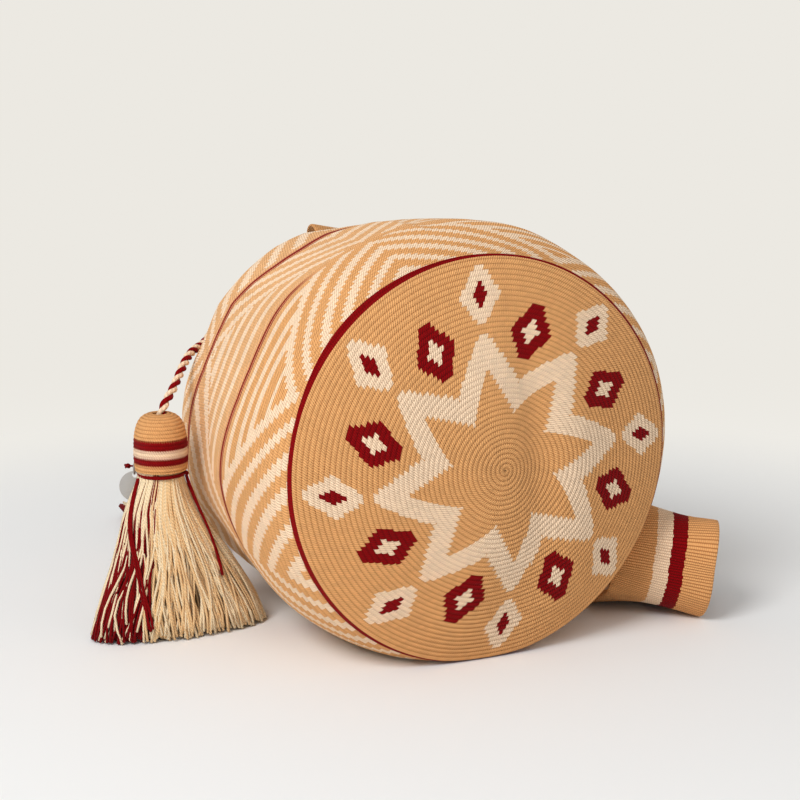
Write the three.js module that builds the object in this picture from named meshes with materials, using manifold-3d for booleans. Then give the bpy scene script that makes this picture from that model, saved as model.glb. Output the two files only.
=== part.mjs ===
// A crocheted bucket bag lying on its side, with a woven shoulder strap, a drawstring and two tassels.
// Millimetres, +Z up. The bag's axis runs along +Y from its round base to its mouth, the floor is z = 0,
// and the origin is the middle of the flattened underside that the bag lies on.
import * as THREE from "three";
import { mergeVertices } from "three/addons/utils/BufferGeometryUtils.js";
import Module from "manifold-3d";

const wasm = await Module();
wasm.setup();

// Bag body, in a frame whose y = 0 is the red line round the base
const BASE_RADIUS = 125;
const BASE_BULGE = 24;
const BAG_LENGTH = 250;
const WALL = 3.2;
const AROUND = 48;
const REST_CENTRE = 110;
// Sections of the wall: distance from the base, half width, half height, height of centre, lean in degrees
const SECTIONS = [
  [0, BASE_RADIUS, 124, 124, 0],
  [12, 134, 130, 123, 4],
  [35, 140, 137, 124, 9],
  [70, 139, 141, 127, 12],
  [120, 133, 139, 127, 12],
  [175, 127, 129, 122, 9],
  [215, 114, 112, 121, 8],
  [BAG_LENGTH, 100, 98, 120, 8],
];
const FLOOR_BLEND = 4;

// Eyelets and drawstring
const EYELETS = 10;
const FIRST_EYELET = 152;
const EYELET_AT = 222;
const CORD_RADIUS = 3.5;
const CORD_SIDES = 10;
const CORD_CLEAR = 0.6;
const CORD_OFF_FLOOR = 0.4;
const EYELET_ROOM = 1.3;
const EYELET_HALF = [3.6 * CORD_RADIUS, CORD_RADIUS + EYELET_ROOM];
const WEAVE_RAMP = 8 * CORD_RADIUS;
const GAP = 0.3;
// Between two stretches of the cord, whose slightly tilted ends need more room the thicker it is
const JOIN_GAP = GAP * (CORD_RADIUS / 3.5);

// Shoulder strap
const STRAP_WIDTH = 64;
const STRAP_THICK = 3;
const STRAP_LAP = 14;
const LAP_GAP = 1.1;
const STRAP_TOP = 70;
const STRAP_BOTTOM = 250;

// Tassels
const CAP_RADIUS = 17;
const CAP_HEIGHT = 36;
const CAP_WALL = 2.6;
const CAP_HOLE = CORD_RADIUS + 1.1;
const FRINGE_LENGTH = 106;
const NECK_RADIUS = 12.8;
const KNOT_RADIUS = 6.5;
const TIE_RADIUS = 0.9;
const TIE_STRAND_RADIUS = 1.5;

// Round tag
const TAG_RADIUS = 10;
const TAG_THICK = 1.2;
const TAG_HOLE = 1.7;
const RING_RADIUS = 3.5;
const RING_WIRE = 0.55;

const TAN = 0xd9a566;
const CREAM = 0xf0dcc0;
const RED = 0x7d0a16;
const STEEL = 0xb9b6b1;

const bag = new THREE.Group();
bag.position.y = -REST_CENTRE;

const v3 = (x, y, z) => new THREE.Vector3(x, y, z);
const rad = THREE.MathUtils.degToRad;

function cloth(color, roughness = 0.95, metalness = 0) {
  return new THREE.MeshStandardMaterial({ color, roughness, metalness });
}

function add(name, geometry, material) {
  const mesh = new THREE.Mesh(geometry, material);
  mesh.name = name;
  bag.add(mesh);
  return mesh;
}

// Smooth value of one column of a table at t, by cubic pieces through its rows
function tableAt(table, column, t) {
  const last = table.length - 1;
  let i = table.findIndex((row, k) => k < last && t <= table[k + 1][0]);
  if (i < 0) i = last - 1;
  const slope = (k) => {
    const a = table[Math.max(k - 1, 0)];
    const b = table[Math.min(k + 1, last)];
    return (b[column] - a[column]) / (b[0] - a[0]);
  };
  const [p, q] = [table[i], table[i + 1]];
  const h = q[0] - p[0];
  const s = (t - p[0]) / h;
  return (
    (2 * s ** 3 - 3 * s ** 2 + 1) * p[column] +
    (s ** 3 - 2 * s ** 2 + s) * h * slope(i) +
    (3 * s ** 2 - 2 * s ** 3) * q[column] +
    (s ** 3 - s ** 2) * h * slope(i + 1)
  );
}

// Height above the floor of a soft wall that would sag to z
function restOnFloor(z) {
  if (z > FLOOR_BLEND) return z;
  if (z < -FLOOR_BLEND) return 0;
  return (z + FLOOR_BLEND) ** 2 / (4 * FLOOR_BLEND);
}

// Outside of the wall at distance t from the base and an angle round it, 90 degrees being the top
function wallPoint(t, degrees) {
  const angle = rad(degrees);
  const [halfWidth, halfHeight, centre, lean] = [1, 2, 3, 4].map((c) => tableAt(SECTIONS, c, t));
  const up = halfHeight * Math.sin(angle);
  return v3(
    halfWidth * Math.cos(angle),
    t - Math.sin(rad(lean)) * up,
    restOnFloor(centre + Math.cos(rad(lean)) * up),
  );
}

// Outside of the domed base, r running from 0 in the middle to 1 at the red line
function basePoint(r, degrees) {
  const centre = v3(0, 0, SECTIONS[0][3]);
  const point = centre.lerp(wallPoint(0, degrees), r);
  point.y -= BASE_BULGE * (1 - r ** 2.4);
  return point;
}

// Outward direction of the wall
function wallNormal(t, degrees) {
  const along = wallPoint(t + 1, degrees).sub(wallPoint(t - 1, degrees));
  const round = wallPoint(t, degrees + 1).sub(wallPoint(t, degrees - 1));
  return along.cross(round).normalize();
}

// Closed solid through rings of points, with a point at each end
function loft(rings, startTip, endTip) {
  const count = rings[0].length;
  const points = [startTip, ...rings.flat(), endTip];
  const end = points.length - 1;
  const faces = [];
  for (let j = 0; j < count; j += 1) {
    const k = (j + 1) % count;
    faces.push(0, 1 + j, 1 + k);
    for (let i = 0; i < rings.length - 1; i += 1) {
      const a = 1 + i * count;
      const b = a + count;
      faces.push(a + j, b + k, a + k, a + j, b + j, b + k);
    }
    faces.push(end, end - count + k, end - count + j);
  }
  const geometry = new THREE.BufferGeometry();
  geometry.setAttribute("position", new THREE.Float32BufferAttribute(points.flatMap((p) => p.toArray()), 3));
  geometry.setIndex(faces);
  geometry.computeVertexNormals();
  return geometry;
}

const middle = (ring) =>
  ring.reduce((sum, p) => sum.add(p), v3(0, 0, 0)).divideScalar(ring.length);
const closedLoft = (rings) => loft(rings, middle(rings[0]), middle(rings.at(-1)));

// Solids for joining and cutting
function toSolid(geometry, matrix = new THREE.Matrix4()) {
  const plain = new THREE.BufferGeometry();
  plain.setAttribute("position", geometry.getAttribute("position").clone());
  plain.setIndex(geometry.index);
  plain.applyMatrix4(matrix);
  const mesh = new wasm.Mesh({
    numProp: 3,
    vertProperties: plain.attributes.position.array,
    triVerts: new Uint32Array(plain.index.array),
  });
  mesh.merge();
  return new wasm.Manifold(mesh);
}

function toGeometry(solid) {
  const mesh = solid.getMesh();
  const geometry = new THREE.BufferGeometry();
  geometry.setAttribute("position", new THREE.Float32BufferAttribute(mesh.vertProperties, 3));
  geometry.setIndex([...mesh.triVerts]);
  geometry.computeVertexNormals();
  return geometry;
}

// Tube along points, closed at both ends
function tube(points, radius, sides = 8, steps = 2 * points.length) {
  const corners = Array.from({ length: sides }, (_, i) => {
    const angle = (2 * Math.PI * i) / sides;
    return new THREE.Vector2(radius * Math.cos(angle), radius * Math.sin(angle));
  });
  return new THREE.ExtrudeGeometry(new THREE.Shape(corners), {
    steps,
    bevelEnabled: false,
    extrudePath: new THREE.CatmullRomCurve3(points, false, "centripetal"),
  });
}

// Copy of a geometry with its repeated corners joined, for toSolid
function indexed(geometry) {
  const plain = new THREE.BufferGeometry();
  plain.setAttribute("position", geometry.getAttribute("position"));
  if (geometry.index) plain.setIndex(geometry.index);
  return mergeVertices(plain, 1e-4);
}

function bodyShell() {
  const baseRings = [0.12, 0.3, 0.5, 0.7, 0.85, 0.95];
  const wallRings = [0, 6, 14, 26, 45, 70, 95, 120, 145, 165, 185, 205, 222, 238, BAG_LENGTH];
  const ringOf = (at) => Array.from({ length: AROUND }, (_, j) => at((360 * j) / AROUND));
  const outer = [
    ...baseRings.map((r) => ringOf((a) => basePoint(r, a))),
    ...wallRings.map((t) => ringOf((a) => wallPoint(t, a))),
  ];
  const inner = outer.map((ring, i) =>
    ring.map((p, j) => {
      const before = outer[Math.max(i - 1, 0)][j];
      const after = outer[Math.min(i + 1, outer.length - 1)][j];
      const round = ring[(j + 1) % AROUND].clone().sub(ring[(j + AROUND - 1) % AROUND]);
      const out = after.clone().sub(before).cross(round).normalize();
      return p.clone().addScaledVector(out, -WALL);
    }),
  );
  const rim = outer.at(-1).map((p, j) => {
    const half = p.clone().lerp(inner.at(-1)[j], 0.5);
    return half.add(p.clone().sub(outer.at(-2)[j]).setLength(WALL * 0.4));
  });
  const pole = basePoint(0, 0);
  const innerPole = pole.clone().add(v3(0, WALL, 0));
  return toSolid(loft([...outer, rim, ...inner.reverse()], pole, innerPole));
}

const eyeletAngle = (k) => FIRST_EYELET - (360 * k) / EYELETS;

function eyeletCutter(k) {
  const degrees = eyeletAngle(k);
  const out = wallNormal(EYELET_AT, degrees);
  const round = wallPoint(EYELET_AT, degrees + 1).sub(wallPoint(EYELET_AT, degrees - 1)).normalize();
  const cutter = new THREE.CylinderGeometry(1, 1, 6 * WALL, 16).scale(EYELET_HALF[0], 1, EYELET_HALF[1]);
  const turn = new THREE.Matrix4().makeBasis(round, out, round.clone().cross(out));
  turn.setPosition(wallPoint(EYELET_AT, degrees));
  return toSolid(cutter, turn);
}

let shell = bodyShell();
for (let k = 0; k < EYELETS; k += 1) shell = shell.subtract(eyeletCutter(k));
add("bag_body", toGeometry(shell), cloth(TAN));

// Point on the drawstring where it runs round the mouth, in at one eyelet and out at the next
function threadedPoint(degrees) {
  const swing = WALL / 2 + CORD_RADIUS + CORD_CLEAR;
  const gap = 360 / EYELETS;
  const k = Math.floor((FIRST_EYELET - degrees) / gap);
  const pitch = wallPoint(EYELET_AT, eyeletAngle(k)).distanceTo(wallPoint(EYELET_AT, eyeletAngle(k + 1)));
  const past = ((FIRST_EYELET - degrees) / gap - k) * pitch;
  const nearest = Math.min(past, pitch - past);
  const ramp = Math.min(nearest / (WEAVE_RAMP / 2), 1);
  const side = k % 2 === 0 ? -1 : 1;
  const offset = side * swing * Math.sin((ramp * Math.PI) / 2) - WALL / 2;
  return wallPoint(EYELET_AT, degrees).addScaledVector(wallNormal(EYELET_AT, degrees), offset);
}

const SPARE = 6;
const threadedFrom = FIRST_EYELET + SPARE;
const threadedTo = (eyeletAngle(EYELETS - 2) + eyeletAngle(EYELETS - 1)) / 2;
const threaded = Array.from({ length: 76 }, (_, i) =>
  threadedPoint(threadedFrom + ((threadedTo - threadedFrom) * i) / 75),
);
add("drawstring", tube(threaded, CORD_RADIUS, CORD_SIDES, 78), cloth(RED));

// Point a gap further along the line from a to b
const beyond = (a, b, gap) => b.clone().add(b.clone().sub(a).setLength(gap));

// The tassel that stands beside the bag: top of its cap
const TASSEL_A = v3(-158, 138, 142);
const endA = [
  beyond(threaded[1], threaded[0], JOIN_GAP),
  beyond(threaded[1], threaded[0], 8),
  v3(-114, 203, 162),
  v3(-123, 188, 159),
  v3(-133, 171, 155),
  v3(-143, 156, 152),
  v3(-152, 145, 150),
  v3(-157, 139.4, 145.5),
  TASSEL_A,
  TASSEL_A.clone().add(v3(0, 0, -8)),
];
add("drawstring_end_a", tube(endA, CORD_RADIUS, CORD_SIDES), cloth(RED));

// The tassel that lies behind the bag: top of its cap, and the way it points
const TASSEL_B = v3(-90, 275, CAP_RADIUS + 0.4);
const TASSEL_B_WAY = v3(0.15, 0.99, 0).normalize();
const lastEyelet = wallPoint(EYELET_AT, eyeletAngle(EYELETS - 1));
const outOfLast = wallNormal(EYELET_AT, eyeletAngle(EYELETS - 1));
const upLast = wallPoint(EYELET_AT, eyeletAngle(EYELETS - 1) - 2).sub(lastEyelet).normalize();
// Point on the bend, two cord diameters in radius, by which the end leaves its eyelet and turns down
function exitBend(degrees) {
  const radius = 4 * CORD_RADIUS;
  const inside = WALL / 2 + CORD_RADIUS + CORD_CLEAR;
  const rise = Math.sqrt(radius ** 2 - (radius - inside) ** 2);
  return lastEyelet
    .clone()
    .addScaledVector(outOfLast, radius - inside - WALL / 2 - radius * Math.cos(rad(degrees)))
    .addScaledVector(upLast, radius * Math.sin(rad(degrees)) - rise);
}
const endB = [
  beyond(threaded.at(-2), threaded.at(-1), JOIN_GAP),
  threadedPoint(threadedTo - 5),
  ...[20, 45, 70, 95, 120, 145, 170].map(exitBend),
  v3(-132, 224, 70),
  v3(-133, 226, 48),
  v3(-132, 231, 26),
  v3(-125, 239, 9),
  v3(-115, 249, CORD_RADIUS + CORD_OFF_FLOOR),
  v3(-105, 259, 6),
  v3(-97, 267, 11.5),
  TASSEL_B.clone(),
  TASSEL_B.clone().addScaledVector(TASSEL_B_WAY, 8),
];
add("drawstring_end_b", tube(endB, CORD_RADIUS, CORD_SIDES), cloth(RED));

// Shoulder strap: centre line and the direction across it, from the top of the mouth to its bottom.
// The points suit a strap ROUTE_WIDTH wide. A third value is the share of the extra width by which a
// point moves along its level direction across, so that the strap's inner edge stays clear of the bag.
// A wider strap tilts less, so that its edges keep their heights above the floor.
const ALONG_RIM = v3(0.94, 0, -0.34);
const LEVEL = v3(1, 0, 0);
const STRAP_ROUTE = [
  [sewnPoint(0, STRAP_TOP), ALONG_RIM],
  [sewnPoint(STRAP_LAP / 2, STRAP_TOP), ALONG_RIM],
  [sewnPoint(STRAP_LAP, STRAP_TOP), ALONG_RIM],
  [v3(36, 255, 216), ALONG_RIM],
  [v3(38, 274, 228), v3(0.97, 0, -0.24)],
  [v3(43, 296, 230), v3(1, 0, -0.1)],
  [v3(54, 317, 211), LEVEL],
  [v3(70, 328, 176), LEVEL, 0.5],
  [v3(92, 330, 132), LEVEL, 1],
  [v3(116, 320, 86), LEVEL, 1],
  [v3(142, 298, 42), LEVEL, 1],
  [v3(160, 260, 17), LEVEL, 1],
  [v3(170, 215, 9), LEVEL, 1],
  [v3(174, 165, 12), LEVEL, 1],
  [v3(174, 118, 28), v3(1, -0.05, -0.05), 1],
  [v3(174, 80, 50), v3(0.96, -0.25, -0.12), 1],
  [v3(169, 46, 68), v3(0.8, -0.55, -0.2), 1],
  [v3(161, 24, 74), v3(0.62, -0.75, -0.22), 1],
  [v3(151, 11, 62), v3(0.64, -0.74, -0.21), 1],
  [v3(147, 10, 44), v3(0.66, -0.72, -0.2), 1],
  [v3(145, 12, 26), v3(0.76, -0.62, -0.2), 1],
  [v3(144, 21, 13), v3(0.87, -0.46, -0.18), 1],
  [v3(145, 38, 7.4), v3(0.96, -0.25, -0.12), 1],
  [v3(145, 62, 3.4), v3(1, -0.05, -0.03), 1],
  [v3(142, 95, 2.2), LEVEL, 1],
  [v3(135, 132, 2.2), LEVEL, 1],
  [v3(120, 170, 2.2), LEVEL, 1],
  [v3(92, 207, 2.2), LEVEL, 1],
  [v3(54, 242, 2.2), LEVEL, 1],
  [v3(14, 274, 2.2), v3(0.7, 0.7, 0), 0.5],
  [v3(-12, 300, 3.6), v3(0.78, 0.62, 0)],
  [v3(-22, 320, 11), v3(0.9, 0.45, 0)],
  [v3(-25, 327, 27), v3(1, 0.1, -0.05)],
  [v3(-28, 315, 42), v3(0.98, 0, -0.15)],
  [v3(-31, 292, 42), v3(0.95, 0, -0.3)],
  [sewnPoint(STRAP_LAP, STRAP_BOTTOM), ALONG_RIM],
  [sewnPoint(STRAP_LAP / 2, STRAP_BOTTOM), ALONG_RIM],
  [sewnPoint(0, STRAP_BOTTOM), ALONG_RIM],
];
const ROUTE_WIDTH = 64;
const STRAP_STEPS = 132;
const STRAP_ACROSS = 5;
const SEWN_FADE = 55;

// Middle of the strap where it lies inside the rim, at a distance from its end and an angle round the mouth
function sewnPoint(fromEnd, degrees, lift = 0) {
  const t = Math.min(BAG_LENGTH - STRAP_LAP + fromEnd, BAG_LENGTH);
  const out = wallNormal(t, degrees);
  const point = wallPoint(t, degrees).addScaledVector(out, lift - WALL - LAP_GAP - STRAP_THICK / 2);
  point.y += Math.max(0, fromEnd - STRAP_LAP);
  return point;
}

// Frames along the strap: point, direction across, direction out of its face, and length from the nearer end
function strapFrames() {
  const route = STRAP_ROUTE.map(([point, across, share = 0]) => {
    const aside = v3(across.x, across.y, 0).setLength((share * (STRAP_WIDTH - ROUTE_WIDTH)) / 2);
    return point.clone().add(aside);
  });
  const tilted = STRAP_ROUTE.map(([, across]) =>
    v3(across.x, across.y, (across.z * ROUTE_WIDTH) / STRAP_WIDTH),
  );
  const centre = new THREE.CatmullRomCurve3(route, false, "centripetal");
  const across = new THREE.CatmullRomCurve3(tilted);
  centre.arcLengthDivisions = 2000;
  const length = centre.getLength();
  return Array.from({ length: STRAP_STEPS + 1 }, (_, i) => {
    const u = i / STRAP_STEPS;
    const t = centre.getUtoTmapping(u);
    const tangent = centre.getTangent(t);
    const side = across.getPoint(t);
    side.addScaledVector(tangent, -side.dot(tangent)).normalize();
    const atTop = u < 0.5;
    return {
      at: centre.getPoint(t),
      side,
      out: side.clone().cross(tangent),
      fromEnd: Math.min(u, 1 - u) * length,
      degrees: atTop ? STRAP_TOP : STRAP_BOTTOM,
      turn: atTop ? -1 : 1,
    };
  });
}

// Point of the strap, across running from -1 to 1; near its ends it follows the curve of the rim
function strapPoint(frame, across, lift) {
  const free = frame.at
    .clone()
    .addScaledVector(frame.side, (across * STRAP_WIDTH) / 2)
    .addScaledVector(frame.out, lift);
  const fade = THREE.MathUtils.smoothstep(frame.fromEnd, STRAP_LAP + 9, STRAP_LAP + SEWN_FADE);
  if (fade >= 1) return free;
  const rimRadius = SECTIONS.at(-1)[1] - WALL;
  const aside = THREE.MathUtils.radToDeg((across * STRAP_WIDTH) / 2 / rimRadius);
  const turned = frame.degrees + frame.turn * aside;
  return sewnPoint(frame.fromEnd, turned, lift).lerp(free, fade);
}

function strapSection(frame) {
  const steps = Array.from({ length: STRAP_ACROSS }, (_, i) => (2 * i) / (STRAP_ACROSS - 1) - 1);
  return [
    ...steps.map((u) => strapPoint(frame, u, -STRAP_THICK / 2)),
    ...steps.reverse().map((u) => strapPoint(frame, u, STRAP_THICK / 2)),
  ];
}

const frames = strapFrames();
add("shoulder_strap", closedLoft(frames.map(strapSection)), cloth(TAN));

// Thread that sews each end of the strap to the rim, zigzag across the strap
const SEAM_RADIUS = 0.6;
const SEAM_STITCHES = 11;
function seamThread(degrees) {
  const span = THREE.MathUtils.radToDeg((0.44 * STRAP_WIDTH) / (SECTIONS.at(-1)[1] - WALL));
  const points = Array.from({ length: SEAM_STITCHES }, (_, i) => {
    const across = (2 * i) / (SEAM_STITCHES - 1) - 1;
    const fromEnd = i % 2 === 0 ? 4 : 10;
    return sewnPoint(fromEnd, degrees + across * span, -STRAP_THICK / 2 - 2 * GAP - SEAM_RADIUS);
  });
  return tube(points, SEAM_RADIUS, 6, 4 * SEAM_STITCHES);
}
add("strap_seam_top", seamThread(STRAP_TOP), cloth(CREAM));
add("strap_seam_bottom", seamThread(STRAP_BOTTOM), cloth(CREAM));

// Crocheted cap of a tassel, in a frame whose z runs from the top of the cap to the end of the fringe
function capGeometry() {
  const dome = [[CAP_HOLE, 0], [9, 0.8], [13, 3], [16, 7.5]];
  const outside = [...dome, [CAP_RADIUS, 14], [CAP_RADIUS, 30], [16.3, CAP_HEIGHT]];
  const inside = outside.map(([r, z], i) => {
    if (i === 0) return [r, z + CAP_WALL];
    return i < 4 ? [r - CAP_WALL * 0.7, z + CAP_WALL * 0.8] : [r - CAP_WALL, z];
  });
  const profile = [...outside, ...inside.reverse(), outside[0]];
  return new THREE.LatheGeometry(profile.map(([r, z]) => new THREE.Vector2(r, z)), 32).rotateX(Math.PI / 2);
}

// Rings of a fringe: distance from the top of the cap, offset of the centre, and half widths
const HEAD = [
  [21.7, 0, 0, 14, 14],
  [30, 0, 0, 13.9, 13.9],
  [34, 0, 0, 13, 12.8],
  [37, 0, 0, NECK_RADIUS, 12.6],
];
const FRINGE_END = CAP_HEIGHT + FRINGE_LENGTH - 0.7;
const STANDING = [
  ...HEAD,
  [41, 0, 0, 13.4, 12.6],
  [50, -0.5, 0, 17, 14],
  [62, -0.5, 1, 22.5, 16],
  [92, 5, 2, 35, 19],
  [122, 8, 3, 49, 21],
  [FRINGE_END, 9, 4, 55, 22],
];
const LYING = [
  ...HEAD,
  [50, 0, -2.2, 15, 12.6],
  [70, 0, -4.8, 18, 12],
  [100, 0, -7.2, 25, 9.7],
  [FRINGE_END, 0, -9.5, 32, 7.4],
];
const FRINGE_SIDES = 24;

function fringePoint(table, s, degrees, lift = 0) {
  const [x, y, a, b] = [1, 2, 3, 4].map((column) => tableAt(table, column, s));
  return v3(x + (a + lift) * Math.cos(rad(degrees)), y + (b + lift) * Math.sin(rad(degrees)), s);
}

// The two colours of a fringe, parted by an upright plane
function fringeHalves(table, partDegrees, partOffset, place) {
  const rings = table.map(([s]) =>
    Array.from({ length: FRINGE_SIDES }, (_, j) => fringePoint(table, s, (-360 * j) / FRINGE_SIDES)),
  );
  const whole = toSolid(closedLoft(rings));
  const [nx, ny] = [Math.cos(rad(partDegrees)), Math.sin(rad(partDegrees))];
  const back = whole.trimByPlane([nx, ny, 0], partOffset + GAP / 2);
  const front = whole.trimByPlane([-nx, -ny, 0], GAP / 2 - partOffset);
  return [front, back].map((half) => toGeometry(half).applyMatrix4(place));
}

function knotGeometry() {
  return new THREE.SphereGeometry(KNOT_RADIUS, 16, 12).translate(0, 0, 8 + GAP + KNOT_RADIUS);
}

// Frames of the tassels: x and y across, z along the tassel from the top of its cap
const placeA = new THREE.Matrix4().makeBasis(v3(1, 0, 0), v3(0, -1, 0), v3(0, 0, -1)).setPosition(TASSEL_A);
const acrossB = v3(0, 0, 1).cross(TASSEL_B_WAY);
const placeB = new THREE.Matrix4().makeBasis(acrossB, v3(0, 0, 1), TASSEL_B_WAY).setPosition(TASSEL_B);

function addTassel(end, table, place, partDegrees, partOffset) {
  add("tassel_cap_" + end, capGeometry().applyMatrix4(place), cloth(TAN));
  add("cord_knot_" + end, knotGeometry().applyMatrix4(place), cloth(RED));
  const [front, back] = fringeHalves(table, partDegrees, partOffset, place);
  add("fringe_cream_" + end, front, cloth(CREAM));
  add("fringe_red_" + end, back, cloth(RED));
}
addTassel("a", STANDING, placeA, 235, 5);
addTassel("b", LYING, placeB, 0, 4);

// Thread tied round the neck of each tassel
const TIE_AT = 38.6;
const TIE_RING = NECK_RADIUS + TIE_RADIUS + 3 * GAP;
const tieRing = () => new THREE.TorusGeometry(TIE_RING, TIE_RADIUS, 8, 32).translate(0, 0, TIE_AT);
add("tie_thread_b", tieRing().applyMatrix4(placeB), cloth(RED));

// On the standing tassel the thread has a tail behind the left side, with the tag's ring on it
const TAG_TURN = 25.3;
const right = v3(Math.cos(rad(TAG_TURN)), -Math.sin(rad(TAG_TURN)), 0);
const away = v3(Math.sin(rad(TAG_TURN)), Math.cos(rad(TAG_TURN)), 0);
const TAIL_DEPTH = 18.5;
const TAIL_END = 24;
const TAG_OUT = 19.5;
const tieCentre = TASSEL_A.clone().add(v3(0, 0, -TIE_AT));
const besideTie = (out, depth, up = 0) =>
  tieCentre.clone().addScaledVector(right, -out).addScaledVector(away, depth).add(v3(0, 0, up));

const ball = (radius, at) =>
  toSolid(indexed(new THREE.SphereGeometry(radius, 12, 8).translate(...at.toArray())));
const tail = [
  besideTie(6, Math.sqrt(TIE_RING ** 2 - 6 ** 2)),
  besideTie(10, 15.5),
  besideTie(14.5, TAIL_DEPTH - 0.4),
  besideTie(TAG_OUT, TAIL_DEPTH),
  besideTie(TAIL_END, TAIL_DEPTH),
];
const tie = toSolid(indexed(tieRing().applyMatrix4(placeA)))
  .add(toSolid(indexed(tube(tail, TIE_RADIUS, 8))))
  .add(ball(2.3, besideTie(TAIL_END, TAIL_DEPTH)))
  .add(ball(2.1, besideTie(-TIE_RING - 0.6, 0)));
add("tie_thread_a", toGeometry(tie), cloth(RED));

// Red strands that hang from the thread over the fringe
function hangingStrand(rows) {
  const lift = TIE_STRAND_RADIUS + 2 * GAP;
  const points = rows.map(([s, degrees]) => fringePoint(STANDING, s, degrees, lift).applyMatrix4(placeA));
  return tube(points, TIE_STRAND_RADIUS, 8);
}
const strandTop = TIE_AT + TIE_RADIUS + TIE_STRAND_RADIUS + 3 * GAP;
const leftStrand = [[strandTop, 172], [60, 160], [80, 145], [100, 130], [120, 122], [136, 119]];
const rightStrand = [[strandTop + 2, 22], [56, 28], [72, 36], [90, 46], [106, 54]];
add("tie_strand_left", hangingStrand(leftStrand), cloth(RED));
add("tie_strand_right", hangingStrand(rightStrand), cloth(RED));

// Tag and its ring
const ringDrop = RING_RADIUS - RING_WIRE - TIE_RADIUS - GAP;
const ringAt = besideTie(TAG_OUT, TAIL_DEPTH, -ringDrop);
const ringTurn = new THREE.Matrix4().makeBasis(away, v3(0, 0, 1), right).setPosition(ringAt);
const ring = new THREE.TorusGeometry(RING_RADIUS, RING_WIRE, 8, 24).applyMatrix4(ringTurn);
add("tag_ring", ring, cloth(STEEL, 0.35, 1));

const HOLE_FROM_CENTRE = TAG_RADIUS - TAG_HOLE - 1;
const tagShape = new THREE.Shape().absarc(0, 0, TAG_RADIUS, 0, 2 * Math.PI);
tagShape.holes.push(new THREE.Path().absarc(0, HOLE_FROM_CENTRE, TAG_HOLE, 0, 2 * Math.PI));
const holeAt = ringAt.clone().add(v3(0, 0, -RING_RADIUS - TAG_HOLE + RING_WIRE + GAP));
const tagTurn = new THREE.Matrix4()
  .makeBasis(right, v3(0, 0, 1), away.clone().negate())
  .setPosition(holeAt.clone().add(v3(0, 0, -HOLE_FROM_CENTRE)));
const tagExtrusion = { depth: TAG_THICK, bevelEnabled: false, curveSegments: 20 };
const disc = new THREE.ExtrudeGeometry(tagShape, tagExtrusion);
add("tag_disc", disc.translate(0, 0, -TAG_THICK / 2).applyMatrix4(tagTurn), cloth(STEEL, 0.35, 1));

export default new THREE.Group().add(bag);
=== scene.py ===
import math
import bpy
import numpy as np
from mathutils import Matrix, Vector


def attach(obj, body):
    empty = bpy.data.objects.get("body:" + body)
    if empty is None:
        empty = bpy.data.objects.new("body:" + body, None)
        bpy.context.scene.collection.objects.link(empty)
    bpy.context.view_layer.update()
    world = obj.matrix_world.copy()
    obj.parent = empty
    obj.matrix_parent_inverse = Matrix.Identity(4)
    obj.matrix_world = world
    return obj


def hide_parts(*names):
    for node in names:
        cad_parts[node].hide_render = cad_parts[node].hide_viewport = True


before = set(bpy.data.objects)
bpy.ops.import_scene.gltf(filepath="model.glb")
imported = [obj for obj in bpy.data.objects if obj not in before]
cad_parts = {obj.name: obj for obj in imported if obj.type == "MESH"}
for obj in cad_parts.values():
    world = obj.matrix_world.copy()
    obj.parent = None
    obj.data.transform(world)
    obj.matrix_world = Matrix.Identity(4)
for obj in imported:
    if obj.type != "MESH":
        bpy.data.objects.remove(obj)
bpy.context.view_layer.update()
scene = bpy.context.scene

# Sizes in millimetres, in the bag's own frame: y = 0 at the red line round the base, +Y to the mouth
REST_CENTRE = 110
BASE_BULGE = 24
BAG_LENGTH = 250
WALL = 3.2
SECTIONS = np.array([
    [0, 125, 124, 124, 0],
    [12, 134, 130, 123, 4],
    [35, 140, 137, 124, 9],
    [70, 139, 141, 127, 12],
    [120, 133, 139, 127, 12],
    [175, 127, 129, 122, 9],
    [215, 114, 112, 121, 8],
    [250, 100, 98, 120, 8],
], float)
EYELETS, FIRST_EYELET, EYELET_AT, WALL_RADIUS = 10, 152, 222, 112
EYELET_HALF = (12.6, 4.8)
CORD_RADIUS, CORD_CLEAR, WEAVE_RAMP = 3.5, 0.6, 28
CORD_LAY, STRAND_OFFSET, STRAND_RADIUS = 14.5, 1.3, 1.62
KNOT_RADIUS, KNOT_THREAD = 6.5, 1.9
EDGE_RADIUS, MOUTH_EDGE_RADIUS, EDGE_GAP = 1.9, 2.1, 1.7
STRAP_WIDTH, STRAP_THICK, STRAP_LAP, LAP_GAP = 64, 3, 14, 1.1
STRAP_TOP, STRAP_BOTTOM = 70, 250
RIB, WALE = 1.75, 1.3
CREAM_STRIPE, RED_STRIPE = (25.0, 35.0), (35.0, 44.5)
NECK_RADIUS, TIE_AT = 12.8, 38.6
FRINGE_END = 141.3
TASSEL_A = np.array([-158, 138, 142.0])
TASSEL_B = np.array([-90, 275, 17.4])
KNOT_IN_CAP = 9

# The crochet: rounds from the middle of the base to the red line, along the wall, and stitches in a round
BASE_ROUNDS, WALL_ROUNDS, STITCHES = 42, 84, 256
RING_1, RING_2, WALL_SPLIT = 26, 54, 42
TURN = 7.5
ROWS_A_ROUND = 4

TAN = (0.785, 0.395, 0.152)
CREAM = (0.935, 0.690, 0.475)
RED = (0.235, 0.0006, 0.002)
# Brown painted shade for the grooves between rounds and ribs
GROOVE_SHADE = (0.50, 0.34, 0.24)
# Paler, lighter tan painted on the wall past the first ring as painted light
LIT_TAN = (0.82, 0.49, 0.25)
ROSE = (0.78, 0.28, 0.17)
STEEL = (0.56, 0.54, 0.52)
FLOOR = (0.865, 0.87, 0.868)
STUDIO_NEAR, STUDIO_FAR = (0.922, 0.913, 0.879), (0.838, 0.814, 0.761)

# The camera, in degrees and metres
CAMERA_TURN, CAMERA_RISE, CAMERA_PLACE = -25.3, 11.5, (-0.517, -1.084, 0.386)


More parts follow.
